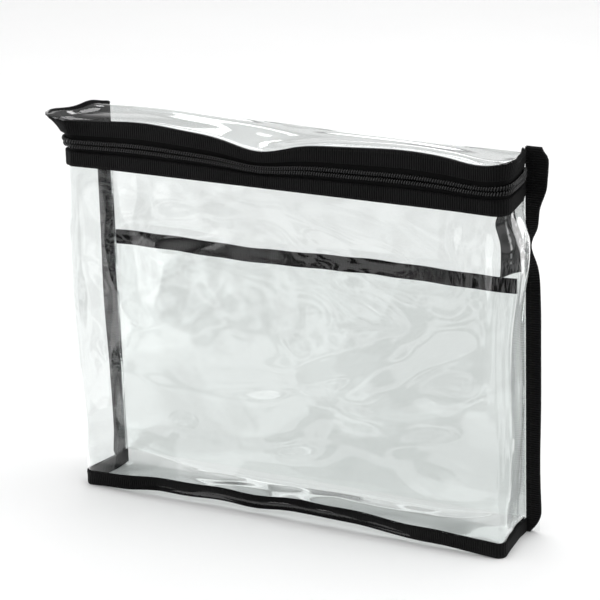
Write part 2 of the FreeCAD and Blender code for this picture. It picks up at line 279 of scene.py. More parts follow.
def seam_turn(side, z, wide, deep):
    """A point of an upright seam: wide out from the seam, deep towards the back."""
    top = smooth((z - SEAM_TOP_Z) / 12)
    drift = 1.5 * soft_noise(z, side * 90, 60, 9.1) * smooth(z / 20)
    if side > 0:
        turned = 80 * bump(z, PINCH_Z, 14)
        wide *= 1 + 0.42 * smooth((z - SEAM_TOP_Z) / 16)
        drift += 0.6 * smooth((z - 196) / 20) - 1.2 * bump(z, 168, 18)
    else:
        turned = -26
        drift *= 1 - smooth((z - 185) / 12)
    angle = math.radians(turned + 7 * soft_noise(z, side * 40, 45, 5.2)) * (1 - top)
    x = wide * math.cos(angle) - deep * math.sin(angle)
    y = wide * math.sin(angle) + deep * math.cos(angle)
    return Vector((side * (SEAM_X + x + drift * smooth(wide / 6)), SEAM_Y + y, z))


# Meshes


def show(name, data):
    """An object of a mesh, a light or a camera, in the scene."""
    piece = bpy.data.objects.new(name, data)
    bpy.context.scene.collection.objects.link(piece)
    return piece


def add_mesh(name, points, faces, uvs=None, solid=False):
    """A mesh object from millimetre points, with a map in millimetres along and across the cloth."""
    mesh = bpy.data.meshes.new(name)
    mesh.from_pydata([p * MM for p in points], [], faces)
    if uvs is not None:
        layer = mesh.uv_layers.new(name="ClothMap")
        for polygon in mesh.polygons:
            for corner, place in zip(polygon.loop_indices, uvs[polygon.index]):
                layer.data[corner].uv = place
    work = bmesh.new()
    work.from_mesh(mesh)
    if solid:
        bmesh.ops.recalc_face_normals(work, faces=work.faces)
    for face in work.faces:
        face.smooth = True
    work.to_mesh(mesh)
    work.free()
    return show(name, mesh)


def grid_mesh(name, rows, flip=False, skip=None):
    """An open sheet from rows of points. Its map runs along each row and up the rows."""
    points, faces, uvs = [], [], []
    wide = len(rows[0])
    across = [0.0]
    middle = rows[len(rows) // 2]
    for a, b in zip(middle, middle[1:]):
        across.append(across[-1] + (b - a).length)
    up = [0.0]
    for a, b in zip(rows, rows[1:]):
        up.append(up[-1] + (b[wide // 2] - a[wide // 2]).length)
    for row in rows:
        points.extend(row)
    for r in range(len(rows) - 1):
        for c in range(wide - 1):
            if skip and skip(r, c):
                continue
            corners = [(r, c), (r, c + 1), (r + 1, c + 1), (r + 1, c)]
            if flip:
                corners.reverse()
            faces.append([i * wide + j for i, j in corners])
            uvs.append([(across[j], up[i]) for i, j in corners])
    return add_mesh(name, points, faces, uvs)


def swept(rings):
    """Points, faces and map of a solid swept through closed rings, capped at both ends."""
    points, faces, uvs = [], [], []
    count = len(rings[0])
    along = [0.0]
    for a, b in zip(rings, rings[1:]):
        along.append(along[-1] + ((a[0] - b[0]).length + (a[count // 2] - b[count // 2]).length) / 2)
    around = [0.0]
    for a, b in zip(rings[0], rings[0][1:] + rings[0][:1]):
        around.append(around[-1] + (b - a).length)
    for ring in rings:
        points.extend(ring)
    for r in range(len(rings) - 1):
        for c in range(count):
            n = (c + 1) % count
            faces.append([i * count + j for i, j in ((r, c), (r, n), (r + 1, n), (r + 1, c))])
            uvs.append([(along[i], around[j]) for i, j in ((r, c), (r, c + 1), (r + 1, c + 1), (r + 1, c))])
    for r, order in ((0, range(count)), (len(rings) - 1, range(count - 1, -1, -1))):
        faces.append([r * count + c for c in order])
        uvs.append([(along[r], around[c]) for c in order])
    return points, faces, uvs


def joined_mesh(name, parts):
    points, faces, uvs = [], [], []
    for part_points, part_faces, part_uvs in parts:
        start = len(points)
        points += part_points
        faces += [[start + i for i in face] for face in part_faces]
        uvs += part_uvs
    return add_mesh(name, points, faces, uvs, solid=True)


def steps(start, end, size):
    count = max(2, int(round(abs(end - start) / size)) + 1)
    return [start + (end - start) * i / (count - 1) for i in range(count)]


def folded_ring(edge, tip, outside, inside, thick, sheets):
    """Section of a ribbon folded over an edge, as (across, out) pairs. edge is the fold, tip the free edges,
    outside and inside the far faces, and sheets the slit that the fold closes over."""
    way = 1 if edge > tip else -1
    slit_in, slit_out = sheets
    round_off = 0.45 * thick
    middle, half = (outside + inside) / 2, (outside - inside) / 2
    leaf = [tip + (edge - tip) * k / 5 for k in range(6)][1:]
    leaf[-1] = edge - way * round_off * 1.4
    ring = [(tip + way * 0.12, outside - 0.1)]
    ring += [(across, outside) for across in leaf]
    ring += [(edge - way * round_off * 0.35, outside - round_off * 0.7), (edge, middle + 0.3 * half)]
    ring += [(edge, middle - 0.3 * half), (edge - way * round_off * 0.35, inside + round_off * 0.7)]
    ring += [(across, inside) for across in reversed(leaf)]
    ring += [(tip + way * 0.12, inside + 0.1), (tip, slit_in - 0.12), (tip + way * 0.15, slit_in)]
    ring += [(edge - way * thick * 1.6, slit_in), (edge - way * thick, (slit_in + slit_out) / 2)]
    ring += [(edge - way * thick * 1.6, slit_out), (tip + way * 0.15, slit_out), (tip, slit_out + 0.12)]
    return ring


def finish_piece(piece, material, nodes, body=None):
    piece.data.materials.clear()
    piece.data.materials.append(material)
    if body:
        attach(piece, body)
    if nodes:
        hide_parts(*nodes)
    return piece


# Finishes


def put(tree, kind, inputs=None, **settings):
    """Adds a node. An input that is another node's socket is linked, and any other is a value."""
    node = tree.nodes.new(kind)
    for key, value in settings.items():
        setattr(node, key, value)
    for key, value in (inputs or {}).items():
        if isinstance(value, bpy.types.NodeSocket):
            tree.links.new(value, node.inputs[key])
        else:
            node.inputs[key].default_value = value
    return node


def grey(level):
    return (level, level, level)


def scaled(colour, share):
    return tuple(part * share for part in colour[:3])


class Nodes:
    """A short way to lay out one material's or world's nodes."""

    def __init__(self, owner, end="ShaderNodeOutputMaterial"):
        owner.use_nodes = True
        self.tree = owner.node_tree
        self.tree.nodes.clear()
        self.end = self.add(end)

    def add(self, kind, inputs=None, **settings):
        return put(self.tree, kind, inputs, **settings)

    def place(self):
        return self.add("ShaderNodeTexCoord").outputs["Object"]

    def cloth_map(self, turn=0.0):
        place = self.add("ShaderNodeUVMap", uv_map="ClothMap").outputs["UV"]
        return self.add("ShaderNodeMapping", {"Vector": place, "Rotation": (0, 0, turn)}).outputs["Vector"]

    def noise(self, place, scale, detail, **more):
        inputs = {"Vector": place, "Scale": scale, "Detail": detail, **more}
        return self.add("ShaderNodeTexNoise", inputs).outputs["Fac"]

    def bands(self, place, scale, distortion, axis="X", **more):
        inputs = {"Vector": place, "Scale": scale, "Distortion": distortion, **more}
        return self.add("ShaderNodeTexWave", inputs, wave_type="BANDS", bands_direction=axis).outputs["Fac"]

    def bump(self, height, strength, distance, **more):
        inputs = {"Strength": strength, "Distance": distance, "Height": height, **more}
        return self.add("ShaderNodeBump", inputs).outputs["Normal"]

    def maths(self, operation, *values, clamp=False):
        return self.add("ShaderNodeMath", dict(enumerate(values)), operation=operation, use_clamp=clamp).outputs[0]

    def ramp(self, value, *stops):
        node = self.add("ShaderNodeValToRGB", {"Fac": value})
        while len(node.color_ramp.elements) < len(stops):
            node.color_ramp.elements.new(0.5)
        for element, (place, colour) in zip(node.color_ramp.elements, stops):
            element.position, element.color = place, (*colour, 1)
        return node.outputs["Color"]

    def greys(self, value, *stops):
        return self.ramp(value, *((place, grey(level)) for place, level in stops))

    def mixed(self, share, first, second):
        return self.add("ShaderNodeMixShader", {"Fac": share, 1: first, 2: second}).outputs[0]

    def close(self, shader):
        self.tree.links.new(shader, self.end.inputs["Surface"])

    def cover(self, base, rough, normal, more):
        """Ends the material in one Principled shader."""
        inputs = {"Base Color": base, "Roughness": rough, "Normal": normal, **more}
        self.close(self.add("ShaderNodeBsdfPrincipled", inputs).outputs[0])


def new_finish(name):
    return Nodes(bpy.data.materials.get(name) or bpy.data.materials.new(name))


def finish_of(name):
    found = bpy.data.materials.get(name)
    if found is None:
        raise RuntimeError(f"make the finishes first: there is no {name}")
    return found


def clear_sheet_material(name, tint, settings, seed, ripple):
    """Thin clear vinyl: it passes most light, and reflects more at a slant."""
    n = new_finish(name)
    start = {"Vector": n.place(), "Location": (seed, 0, seed * 0.37)}
    offset = n.add("ShaderNodeMapping", start).outputs["Vector"]
    rolling = n.noise(offset, 13.0, 1.0, Roughness=0.4, Distortion=0.9)
    soft = n.bump(rolling, 1.0, settings.sheet_ripple * ripple)
    skin = n.bump(n.noise(offset, 140.0, 2.0, Roughness=0.5), 0.12, 0.00008, Normal=soft)
    facing = n.add("ShaderNodeLayerWeight", {"Blend": 0.5, "Normal": soft}).outputs["Facing"]
    share = n.maths("MULTIPLY_ADD", n.maths("POWER", facing, 4.0), 0.8, settings.sheet_gloss, clamp=True)
    smear = n.greys(n.noise(offset, 9.0, 4.0), (0.35, 0.03), (0.75, 0.09))
    see = n.add("ShaderNodeBsdfTransparent", {"Color": tint}).outputs[0]
    gloss = {"Color": (1, 1, 1, 1), "Roughness": smear, "Normal": skin}
    n.close(n.mixed(share, see, n.add("ShaderNodeBsdfGlossy", gloss).outputs[0]))


def grosgrain_material(name, colour, settings):
    """Ribbon with ribs across it, warp lines along it and fine fibre."""
    n = new_finish(name)
    cloth = n.cloth_map()
    ribs = n.bands(cloth, BAND_SCALE / settings.rib_pitch, 0.6, Detail=2.0, **{"Detail Scale": 3.0})
    warp = n.bands(cloth, 1.1, 1.5, "Y", Detail=1.0)
    fibre = n.noise(cloth, 2.4, 5.0, Roughness=0.65)
    lines = n.bump(n.maths("MULTIPLY_ADD", warp, 0.25, ribs), 1.0, 0.0005)
    skin = n.bump(fibre, 0.5, 0.00012, Normal=lines)
    tone = n.maths("MULTIPLY", n.maths("ADD", ribs, fibre), 0.4)
    fresh = n.ramp(tone, (0.16, scaled(colour, 0.2)), (0.66, scaled(colour, 2.9)))
    worn = n.greys(n.noise(cloth, 0.045, 3.0), (0.3, 0.75), (0.75, 1.45))
    both = {"Factor": 1.0, "A": fresh, "B": worn}
    mix = n.add("ShaderNodeMix", both, data_type="RGBA", blend_type="MULTIPLY").outputs["Result"]
    rough = n.greys(fibre, (0.2, 0.62), (0.8, 0.86))
    n.cover(mix, rough, skin, {"Specular IOR Level": 0.12, "Sheen Weight": 0.02, "Sheen Roughness": 0.5})


def tape_material(name, colour):
    """Tightly woven zip tape: a fine herringbone."""
    n = new_finish(name)
    weave = n.maths("MAXIMUM", *(n.bands(n.cloth_map(math.radians(turn)), 0.62, 0.4, Detail=1.0) for turn in (38, -38)))
    fibre = n.noise(n.cloth_map(), 3.0, 4.0)
    share = n.maths("MULTIPLY", n.maths("ADD", weave, fibre), 0.5)
    tone = n.ramp(share, (0.2, scaled(colour, 0.5)), (0.9, scaled(colour, 1.5)))
    n.cover(tone, 0.72, n.bump(weave, 0.7, 0.00014), {"Specular IOR Level": 0.12, "Sheen Weight": 0.015})


def plastic_material(name, colour, rough):
    """Drawn nylon: glossy, with faint drifts of tone and scuffs."""
    n = new_finish(name)
    place = n.place()
    scuff = n.noise(place, 900.0, 3.0)
    tone = n.ramp(n.noise(place, 60.0, 2.0), (0.3, scaled(colour, 0.7)), (0.8, scaled(colour, 1.5)))
    gloss = n.greys(scuff, (0.3, rough * 0.8), (0.75, rough * 1.35))
    shine = {"Specular IOR Level": 0.9, "Coat Weight": 0.5, "Coat Roughness": 0.15}
    n.cover(tone, gloss, n.bump(scuff, 0.2, 0.00003), shine)


def enamel_material(name, colour):
    """Black enamel on cast metal, with a little orange peel and rubbed places."""
    n = new_finish(name)
    place = n.place()
    wear = n.noise(place, 420.0, 5.0, Roughness=0.7)
    rubbed = n.greys(wear, (0.60, 0.0), (0.74, 1.0))
    tone = n.ramp(rubbed, (0.0, colour[:3]), (1.0, RUBBED_METAL))
    gloss = n.greys(wear, (0.35, 0.22), (0.75, 0.46))
    raised = n.bump(n.noise(place, 1500.0, 2.0), 0.25, 0.00004)
    n.cover(tone, gloss, raised, {"Metallic": 0.35, "Coat Weight": 0.4, "Coat Roughness": 0.12})


def thread_material(name, colour):
    """Twisted sewing thread."""
    n = new_finish(name)
    twist = n.noise(n.place(), 2600.0, 2.0)
    tone = n.ramp(twist, (0.3, scaled(colour, 0.6)), (0.75, scaled(colour, 2.0)))
    n.cover(tone, 0.6, n.bump(twist, 0.5, 0.00005), {"Specular IOR Level": 0.2, "Sheen Weight": 0.03})


def satin_material(name, colour, dash_colour):
    """Satin tab cloth with one row of plain woven dashes."""
    n = new_finish(name)
    cloth = n.cloth_map()
    warp = n.bands(cloth, 1.6, 0.3)
    inside = n.add("ShaderNodeSeparateXYZ", {"Vector": cloth}).outputs
    rows = n.maths("LESS_THAN", n.maths("FRACT", n.maths("DIVIDE", inside["Y"], DASH_PITCH)), 0.62)
    field = n.maths("MULTIPLY", n.maths("COMPARE", inside["X"], 6.0, 0.55), n.maths("COMPARE", inside["Y"], 20.0, 14.0))
    dash = n.maths("MULTIPLY", n.maths("MULTIPLY", rows, field), 0.8)
    tone = n.ramp(warp, (0.1, scaled(colour, 0.7)), (0.9, scaled(colour, 1.6)))
    mix = n.add("ShaderNodeMix", {"Factor": dash, "A": tone, "B": dash_colour}, data_type="RGBA").outputs["Result"]
    n.cover(mix, 0.38, n.bump(warp, 0.4, 0.00008), {"Specular IOR Level": 0.5, "Sheen Weight": 0.1})


# Repeated shapes


def path_object(name, runs):
    """Open lines of millimetre points, each point with the way out of the wall there."""
    mesh = bpy.data.meshes.new(name)
    points, edges, ways = [], [], []
    for line in runs:
        start = len(points)
        points += [p * MM for p, way in line]
        ways += [way for p, way in line]
        edges += [(start + i, start + i + 1) for i in range(len(line) - 1)]
    mesh.from_pydata(points, edges, [])
    layer = mesh.attributes.new("way_out", "FLOAT_VECTOR", "POINT")
    for item, way in zip(layer.data, ways):
        item.vector = way
    return show(name, mesh)


def along_path_tree(name, sizes, shape):
    """A tree that repeats one shape along a path: Spacing apart, its Z along the path and its X out of the wall."""
    tree = bpy.data.node_groups.new(name, "GeometryNodeTree")
    sockets = [("Geometry", "INPUT", "Geometry")]
    sockets += [(label, "INPUT", "Float") for label in ("Spacing", *sizes)]
    sockets += [("Finish", "INPUT", "Material"), ("Geometry", "OUTPUT", "Geometry")]
    for label, way, kind in sockets:
        tree.interface.new_socket(label, in_out=way, socket_type="NodeSocket" + kind)

    def step(out, kind, inputs=None, **settings):
        return put(tree, kind, inputs, **settings).outputs[out]

    given = put(tree, "NodeGroupInput").outputs
    align = "FunctionNodeAlignRotationToVector"
    curve = step("Curve", "GeometryNodeMeshToCurve", {"Mesh": given["Geometry"]})
    spaced = step("Curve", "GeometryNodeResampleCurve", {"Curve": curve, "Length": given["Spacing"]}, mode="LENGTH")
    out = step("Attribute", "GeometryNodeInputNamedAttribute", {"Name": "way_out"}, data_type="FLOAT_VECTOR")
    stand = step("Rotation", align, {"Vector": step("Tangent", "GeometryNodeInputTangent")}, axis="Z")
    turn = step("Rotation", align, {"Rotation": stand, "Vector": out}, axis="X", pivot_axis="Z")
    copies = {"Points": spaced, "Rotation": turn, "Instance": shape(step, given)}
    placed = step("Instances", "GeometryNodeInstanceOnPoints", copies)
    real = step("Geometry", "GeometryNodeRealizeInstances", {"Geometry": placed})
    rounded = step("Geometry", "GeometryNodeSetShadeSmooth", {"Geometry": real})
    painted = step("Geometry", "GeometryNodeSetMaterial", {"Geometry": rounded, "Material": given["Finish"]})
    put(tree, "NodeGroupOutput", {"Geometry": painted})
    return tree


def coil_turn(step, given):
    """One slanted loop of the zip's coil."""
    circle = "GeometryNodeCurvePrimitiveCircle"
    loop = step("Curve", circle, {"Resolution": 12, "Radius": 1.0})
    widths = {"X": given["Half Thickness"], "Y": given["Half Width"], "Z": 1.0}
    size = step("Vector", "ShaderNodeCombineXYZ", widths)
    lean = step("Vector", "ShaderNodeCombineXYZ", {"X": given["Slant"]})
    shaped = step("Geometry", "GeometryNodeTransform", {"Geometry": loop, "Scale": size, "Rotation": lean})
    wire = step("Curve", circle, {"Resolution": 6, "Radius": given["Wire Radius"]})
    return step("Mesh", "GeometryNodeCurveToMesh", {"Curve": shaped, "Profile Curve": wire})


def stitch_shape(step, given):
    """One stitch: a short thread pulled in at both ends."""
    ball = step("Mesh", "GeometryNodeMeshUVSphere", {"Segments": 8, "Rings": 6, "Radius": 1.0})
    widths = {"X": given["Thickness"], "Y": given["Thickness"], "Z": given["Half Length"]}
    size = step("Vector", "ShaderNodeCombineXYZ", widths)
    return step("Geometry", "GeometryNodeTransform", {"Geometry": ball, "Scale": size})


def repeated(name, runs, tree, values, material):
    """The plain mesh of a tree's shape repeated along runs."""
    path = path_object(name + "_path", runs)
    modifier = path.modifiers.new("Repeat", "NODES")
    modifier.node_group = tree
    for item in tree.interface.items_tree:
        if item.in_out == "INPUT" and item.name in values:
            modifier[item.identifier] = values[item.name]
        elif item.in_out == "INPUT" and item.name == "Finish":
            modifier[item.identifier] = material
    graph = bpy.context.evaluated_depsgraph_get()
    graph.update()
    mesh = bpy.data.meshes.new_from_object(path.evaluated_get(graph))
    path.modifiers.clear()
    bpy.data.objects.remove(path)
    mesh.name = name
    if not len(mesh.polygons):
        raise RuntimeError(f"{name}: its repeated shape came out empty")
    return show(name, mesh)


def wall_line(run0, run1, z, out, size=2.0):
    """A line along the wall for repeated shapes: each point with the way out of the wall there."""
    return [(wall(run, z, out), (*plan(run)[1], 0.0)) for run in steps(run0, run1, size)]


# Settings


def number(name, description, value, **kind):
    return bpy.props.FloatProperty(name=name, description=description, default=value, **kind)


def length(name, description, value):
    return number(name, description, value, unit="LENGTH")


def colour(name, description, *value):
    value = (*value, 1)
    return bpy.props.FloatVectorProperty(name=name, description=description, default=value, size=4, subtype="COLOR")


class ZipPouchCloth(bpy.types.PropertyGroup):
    sheet_cell: length("Sheet cell", "Mesh size of the clear sheets", 0.0026)
    sheet_ripple: length("Sheet ripple", "Height of the clear sheet's slow ripples", 0.0032)
    sheet_gloss: number("Sheet gloss", "Share of light that the clear sheet reflects head on", 0.085, subtype="FACTOR")
    rib_pitch: number("Rib pitch", "Distance between the ribbon's ribs, in millimetres", 1.35)
    turn_pitch: length("Coil pitch", "Distance between turns of the zip's coil", 0.0015)
    stitch_pitch: length("Stitch pitch", "Distance between stitches", 0.0031)
    stitch_length: length("Stitch length", "Length of one stitch", 0.0025)


class ZipPouchColours(bpy.types.PropertyGroup):
    wall_tint: colour("Wall tint", "What the front and side sheet lets through", 0.875, 0.893, 0.888)
    back_tint: colour("Back tint", "What the back and lid sheet lets through", 0.885, 0.90, 0.895)
    pocket_tint: colour("Pocket tint", "What the pocket's sheet lets through", 0.94, 0.955, 0.95)
    ribbon: colour("Ribbon", "Grosgrain ribbon", 0.0031, 0.0031, 0.0033)
    tape: colour("Tape", "Zip tape", 0.0035, 0.0035, 0.0037)
    coil: colour("Coil", "Nylon coil", 0.004, 0.004, 0.0042)
    core: colour("Core", "Filler cord inside the coils", 0.0012, 0.0012, 0.0013)
    metal: colour("Metal", "Enamel on the slider and puller", 0.01, 0.01, 0.011)
    thread: colour("Thread", "Sewing thread", 0.0017, 0.0017, 0.0018)
    satin: colour("Satin", "Label cloth", 0.006, 0.006, 0.0065)
    dashes: colour("Dashes", "Woven dashes on the label", 0.30, 0.30, 0.30)


class ZipPouchStudio(bpy.types.PropertyGroup):
    camera_place: bpy.props.FloatVectorProperty(
        name="Camera", description="Where the camera stands", default=(0.6728, -1.24545, 0.60439), unit="LENGTH")
    camera_turn: number("Turn", "Camera's turn from looking along +Y", math.radians(28.29), subtype="ANGLE")
    camera_down: number("Down", "How far the camera looks down", math.radians(18.67), subtype="ANGLE")
    camera_roll: number("Roll", "Camera's roll", math.radians(-1.79), subtype="ANGLE")
    lens: number("Lens", "Focal length in millimetres on a 36 mm sensor", 159.85)
    floor_half: length("Floor", "Half the floor's side", 6.0)
    key_power: number("Key", "Power of the overhead softbox", 34.5)
    front_power: number("Front", "Power of the front softbox", 15.0)
    side_power: number("Side", "Power of each side softbox", 8.0)


# Pieces


class POUCH_OT_finishes(bpy.types.Operator):
    """Make every finish of the pouch"""

    bl_idname = "pouch.finishes"
    bl_label = "Finishes"

    def execute(self, context):
        cloth, colours = context.scene.pouch_cloth, context.scene.pouch_colours
        clear_sheet_material("Clear vinyl wall", colours.wall_tint, cloth, 0.3, 1.0)
        clear_sheet_material("Clear vinyl back", colours.back_tint, cloth, 1.7, 0.22)
        clear_sheet_material("Clear vinyl pocket", colours.pocket_tint, cloth, 3.9, 0.8)
        grosgrain_material("Grosgrain ribbon", colours.ribbon, cloth)
        tape_material("Woven zip tape", colours.tape)
        plastic_material("Nylon coil", colours.coil, 0.2)
        thread_material("Filler cord", colours.core)
        enamel_material("Black enamel", colours.metal)
        thread_material("Sewing thread", colours.thread)
        satin_material("Label satin", colours.satin, colours.dashes)
        return {"FINISHED"}


class POUCH_OT_front_wrap(bpy.types.Operator):
    """Make the clear sheet that is the front and both gussets"""

    bl_idname = "pouch.front_wrap"
    bl_label = "Front and gussets"

    def execute(self, context):
        cell = context.scene.pouch_cloth.sheet_cell / MM
        runs = steps(-WALL_RUN, -SEAM_RUN, cell)[:-1] + steps(-SEAM_RUN, -CORNER_MID, cell)[:-1]
        runs += steps(-CORNER_MID, CORNER_MID, cell) + steps(CORNER_MID, SEAM_RUN, cell)[1:]
        runs += steps(SEAM_RUN, WALL_RUN, cell)[1:]
        rows = [[wall(run, z, -SHEET / 2) for run in runs] for z in steps(WRAP_LOW.z + 0.4, WRAP_HIGH.z, cell)]
        piece = grid_mesh("front_wrap_film", rows)
        finish_piece(piece, finish_of("Clear vinyl wall"), ["front_wrap_sheet"], "bag")
        return {"FINISHED"}


def back_top(x):
    """The back fold, which the lid's weight pulls down a little more on the right."""
    return LID_Z - SHEET / 2 - 2.9 - 0.0135 * x - 0.5 * math.sin(x / 33.0)


def patch(front, back, left, right, rows, columns, swell):
    """A sheet filled in between four edges. rows go from back to front."""
    grid = []
    for t in rows:
        row = []
        for u in columns:
            edge = back(u) * (1 - t) + front(u) * t + left(t) * (1 - u) + right(t) * u
            ends = [back(end) * (1 - t) + front(end) * t for end in (0.0, 1.0)]
            row.append(edge - (ends[0] * (1 - u) + ends[1] * u) + Vector((0, 0, swell(u, t))))
        grid.append(row)
    return grid


class POUCH_OT_back_and_lid(bpy.types.Operator):
    """Make the clear sheet that is the bottom, the back and the lid"""

    bl_idname = "pouch.back_and_lid"
    bl_label = "Bottom, back and lid"

    def execute(self, context):
        cell = context.scene.pouch_cloth.sheet_cell / MM
        columns = steps(0, 1, cell / (2 * SEAM_X))
        across = steps(0, 1, cell / 44)
        back_y = BACK_HIGH.y - SHEET / 2

        def back_edge(z_of):
            return lambda u: Vector(((2 * u - 1) * SEAM_X, back_y, z_of((2 * u - 1) * SEAM_X)))

        def front_edge(z, out):
            return lambda u: wall((2 * u - 1) * CORNER_MID, z, out)

        def side_edge(side, z, out, back):
            def edge(t):
                along = side * (SEAM_RUN - t * (SEAM_RUN - CORNER_MID))
                return wall(along, z, out) + (back - wall(side * SEAM_RUN, z, out)) * (1 - t)
            return edge

        def panel(z, out, back, swell):
            left, right = side_edge(-1, z, out, back(0.0)), side_edge(1, z, out, back(1.0))
            return patch(front_edge(z, out), back, left, right, across, columns, swell)

        def foot_z(x):
            sag = max(0.0, 1 - (x / (SEAM_X - 4)) ** 2)
            return FLOOR_Z + 1.2 - 6.6 * smooth(sag * 1.5) + 0.5 * math.sin(x / 29.0) * sag

        def ends_in(u, rise):
            return smooth(u * rise) * smooth((1 - u) * rise)

        def foot_swell(u, t):
            return math.sin(math.pi * t) * ends_in(u, 12) * (0.8 + 2.4 * soft_noise(u * 260, t * 44, 38, 21.0))

        def lid_swell(u, t):
            dents = 0.6 * soft_noise(u * 260, t * 44, 60, 30.0) * ends_in(u, 10)
            return math.sin(math.pi * t) * (0.8 * math.sin(math.pi * u) + dents)

        foot = panel(FLOOR_Z + 0.2, -0.6, back_edge(foot_z), foot_swell)
        lid = panel(LID_Z - SHEET / 2, -SHEET / 2, back_edge(back_top), lid_swell)
        rows = [[p + Vector((0, 0, -6.5)) for p in foot[-1]]] + list(reversed(foot))
        for share in steps(0, 1, cell / 212)[1:-1]:
            row = []
            for u, low, high in zip(columns, foot[0], lid[0]):
                point = low.lerp(high, share)
                bulge = 1.2 + 2.4 * soft_noise(point.x, point.z, 70, 41.0)
                bulge += 0.8 * soft_noise(point.x, point.z, 26, 44.0)
                point.y += math.sin(math.pi * share) * ends_in(u, 9) * bulge
                row.append(point)
            rows.append(row)
        first_back, last_back = len(foot), len(rows)
        rows += lid
        rows.append([wall((2 * u - 1) * CORNER_MID, UPPER_LOW.z + 1.2, -SHEET / 2) for u in columns])
        full = []
        for r, row in enumerate(rows):
            left, right = row[0], row[-1]
            if first_back <= r <= last_back:
                heights = [min(point.z, BODY_HIGH.z - 0.8) for point in (left, right)]
                sides = [seam_turn(side, z, FLANGE - 0.6, 1.0) for side, z in zip((-1, 1), heights)]
            else:
                down = Vector((0, 0, 6.0 if r < first_back else 1.6))
                sides = [left - down, right - down]
            full.append([sides[0], *row, sides[1]])
        edges = (0, len(columns))

        def gap(r, c):
            return c in edges and (r in (0, first_back - 1, last_back) or r >= len(rows) - 2)

        piece = grid_mesh("back_and_lid_film", full, flip=True, skip=gap)
        loose = bmesh.new()
        loose.from_mesh(piece.data)
        bmesh.ops.delete(loose, geom=[v for v in loose.verts if not v.link_faces], context="VERTS")
        loose.to_mesh(piece.data)
        loose.free()
        finish_piece(piece, finish_of("Clear vinyl back"), ["back_sheet", "lid_sheet"])
        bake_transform(piece)
        return {"FINISHED"}


# The pocket's sheet stands forward of the back panel, with a slanting return to each seam
POCKET_HALF = POCKET_RIBBON_HIGH.x
POCKET_Y = POCKET_LOW.y + SHEET / 2
POCKET_SEAM_Y = SEAM_Y + SHEET * 1.5
POCKET_TURN = math.hypot(SEAM_X - POCKET_HALF, POCKET_SEAM_Y - POCKET_Y)
POCKET_FLANGE = FLANGE - 0.8


def pocket_wall(run, z):
    """A point of the pocket's sheet: its front, its slanting returns and its seam flanges."""
    side = math.copysign(1, run)
    along = abs(run) - POCKET_HALF
    if along <= 0:
        slump = 1.0 - smooth((abs(z - 78) - 20) / 50)
        swell = 1.6 * soft_noise(run, z, 55, 61.0) + 0.7 * soft_noise(run, z, 22, 64.0)
        y = POCKET_Y - smooth(-along / 30) * (0.9 * slump + swell * smooth((z - 8) / 16))
        point = Vector((run, y, z))
    elif along <= POCKET_TURN:
        share = along / POCKET_TURN
        x = POCKET_HALF + (SEAM_X - POCKET_HALF) * share
        point = Vector((side * x, POCKET_Y + (POCKET_SEAM_Y - POCKET_Y) * share, z))
    else:
        point = seam_turn(side, z, min(along - POCKET_TURN, POCKET_FLANGE), SHEET * 1.5)
    lift = smooth((z - 20) / 110) * (0.011 * run - 0.8 + 0.7 * math.sin(run / 24.0))
    return point + Vector((0, 0, lift))


class POUCH_OT_pocket(bpy.types.Operator):
    """Make the inner pocket's clear sheet and its folded ribbon"""

    bl_idname = "pouch.pocket"
    bl_label = "Inner pocket"

    def execute(self, context):
        cell = context.scene.pouch_cloth.sheet_cell / MM
        half, total = POCKET_HALF, POCKET_HALF + POCKET_TURN + POCKET_FLANGE
        runs = steps(-total, -half, cell)[:-1] + steps(-half, half, cell) + steps(half, total, cell)[1:]
        heights = steps(POCKET_LOW.z + 1.4, POCKET_HIGH.z - 0.7, cell)
        film = grid_mesh("pocket_film", [[pocket_wall(run, z) for run in runs] for z in heights])
        finish_piece(film, finish_of("Clear vinyl pocket"), ["pocket_sheet"], "bag")
        section = folded_ring(POCKET_RIBBON_HIGH.z, POCKET_RIBBON_LOW.z, 0.8, -0.8, RIBBON, (-0.2, 0.2))
        rings = []
        for run in steps(-half + 0.3, half - 0.3, 2.0):
            wave = 0.15 * math.sin(run / 5.0)
            rings.append([pocket_wall(run, z + wave) + Vector((0, -out, 0)) for z, out in section])
        ribbon = joined_mesh("pocket_ribbon", [swept(rings)])
        finish_piece(ribbon, finish_of("Grosgrain ribbon"), ["pocket_binding"], "bag")
        return {"FINISHED"}


def band_rings(section, run0, run1, size=2.0, ruffle=0.0):
    rings = []
    for run in steps(run0, run1, size):
        rings.append([wall(run, z, out + ruffle * math.sin(run / 4.3 + z)) for z, out in section])
    return rings


def end_run(y):
    """The length along the wall where its gusset reaches y."""
    return SEAM_RUN - (SEAM_Y - y) / GUSSET_DIR.y


